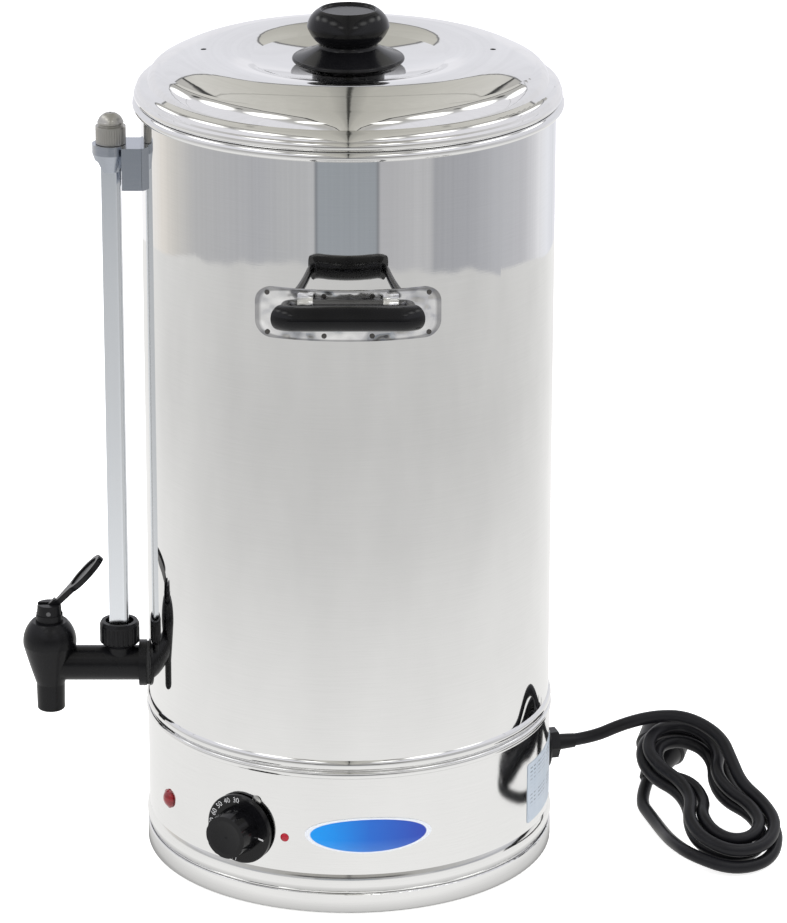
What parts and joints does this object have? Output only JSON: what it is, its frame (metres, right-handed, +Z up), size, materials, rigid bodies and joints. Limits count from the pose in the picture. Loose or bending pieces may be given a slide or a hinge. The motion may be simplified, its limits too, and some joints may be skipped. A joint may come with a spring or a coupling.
{
  "type": "hot water urn",
  "caption": "Tall cylindrical steel hot water urn with a lift-off domed lid, drink tap with sight glass, folding side handles, thermostat dial and mains cord.",
  "frame": {"origin": "on the urn's axis at the floor, in the middle of the rubber feet", "axes": "+Z up along the urn's axis, -Y the front with the dial and badge, -X the tap's side"},
  "size_m": [0.5447, 0.4076, 0.5987],
  "materials": {
    "stainless_steel": "polished stainless steel sheet with a fine grain",
    "plated_steel": "zinc plated steel",
    "chrome": "bright chrome plating",
    "nickel_cap": "satin nickel plating, knurled",
    "brass": "turned brass",
    "black_phenolic": "moulded black thermoset plastic, glossy",
    "black_plastic": "moulded black plastic, satin",
    "cord_rubber": "black rubber cord sheath",
    "foot_rubber": "black rubber",
    "silicone": "food grade silicone",
    "sight_glass": "clear glass tube",
    "red_lens": "translucent red lens",
    "red_dot": "red plastic",
    "badge_blue": "printed plate under a clear coat",
    "label_pale": "printed foil sticker",
    "white_plastic": "heat resistant white plastic",
    "wire_sheath": "silicone sheathed wire"
  },
  "bodies": {
    "urn": {"badge_plate": "badge_blue", "base_shell": "stainless_steel", "bottom_plate": "plated_steel", "bracket_screws": "plated_steel", "bulb_clip": "plated_steel", "cord_gland": "black_plastic", "cord_hank": "cord_rubber", "cord_inside": "cord_rubber", "element_bushings": "brass", "element_nuts": "plated_steel", "foot_ring": "stainless_steel", "gland_nut": "black_plastic", "handle_plate_back": "stainless_steel", "handle_plate_front": "stainless_steel", "handle_welds": "stainless_steel", "heating_element": "stainless_steel", "index_dot": "red_dot", "internal_wiring": "wire_sheath", "lamp_body": "black_plastic", "lamp_lens": "red_lens", "plug_pins": "plated_steel", "power_cord": "cord_rubber", "power_plug": "cord_rubber", "rating_label": "label_pale", "rubber_feet": "foot_rubber", "sight_bracket": "chrome", "sight_bracket_screws": "plated_steel", "sight_cap": "nickel_cap", "sight_nut": "black_plastic", "sight_seals": "silicone", "sight_shield": "chrome", "sight_tube": "sight_glass", "tank_bottom": "stainless_steel", "tank_shell": "stainless_steel", "tap_body": "black_plastic", "tap_bonnet": "black_plastic", "tap_flange": "black_plastic", "tap_inner_nut": "black_plastic", "tap_lever_pin": "plated_steel", "tap_seals": "silicone", "tap_spring": "plated_steel", "terminal_block": "white_plastic", "thermal_cutout": "plated_steel", "thermostat_body": "white_plastic", "thermostat_bracket": "plated_steel", "thermostat_bulb": "plated_steel", "tie_nut": "plated_steel", "tie_rod": "plated_steel"},
    "lid": {"lid_shell": "stainless_steel", "lid_knob": "black_phenolic", "lid_knob_screw": "plated_steel"},
    "dial": {"control_knob": "black_phenolic", "thermostat_shaft": "plated_steel"},
    "lever": {"tap_lever": "black_plastic"},
    "stem": {"tap_stem": "plated_steel", "tap_seat_cup": "silicone"},
    "handle_front": {"handle_bail_front": "plated_steel", "handle_grip_front": "black_phenolic"},
    "handle_back": {"handle_bail_back": "plated_steel", "handle_grip_back": "black_phenolic"}
  },
  "joints": [
    {"name": "lid_lift", "type": "slide", "parent": "urn", "child": "lid", "axis": [0, 0, 1], "range_m": [0, 0.12]},
    {"name": "dial_turn", "type": "hinge", "parent": "urn", "child": "dial", "pos_m": [-0.07252, -0.11975, 0.0559], "axis": [0.518, 0.8554, 0], "range_deg": [0, 270]},
    {"name": "lever_tip", "type": "hinge", "parent": "urn", "child": "lever", "pos_m": [-0.2093, 0, 0.168], "axis": [0, -1, 0], "range_deg": [0, 75]},
    {"name": "stem_lift", "type": "slide", "parent": "urn", "child": "stem", "axis": [0, 0, 1], "range_m": [0, 0.004], "stiffness_N_per_m": 100, "springref_m": -0.004, "deforming": ["tap_spring"]},
    {"name": "front_handle_fold", "type": "hinge", "parent": "urn", "child": "handle_front", "pos_m": [0, -0.1449, 0.437], "axis": [1, 0, 0], "range_deg": [-5, 70]},
    {"name": "back_handle_fold", "type": "hinge", "parent": "urn", "child": "handle_back", "pos_m": [0, 0.1449, 0.437], "axis": [-1, 0, 0], "range_deg": [-5, 70]}
  ],
  "couplings": [
    {"joint": "lever_tip", "follows": "stem_lift", "rad_per_m": 327.2}
  ]
}
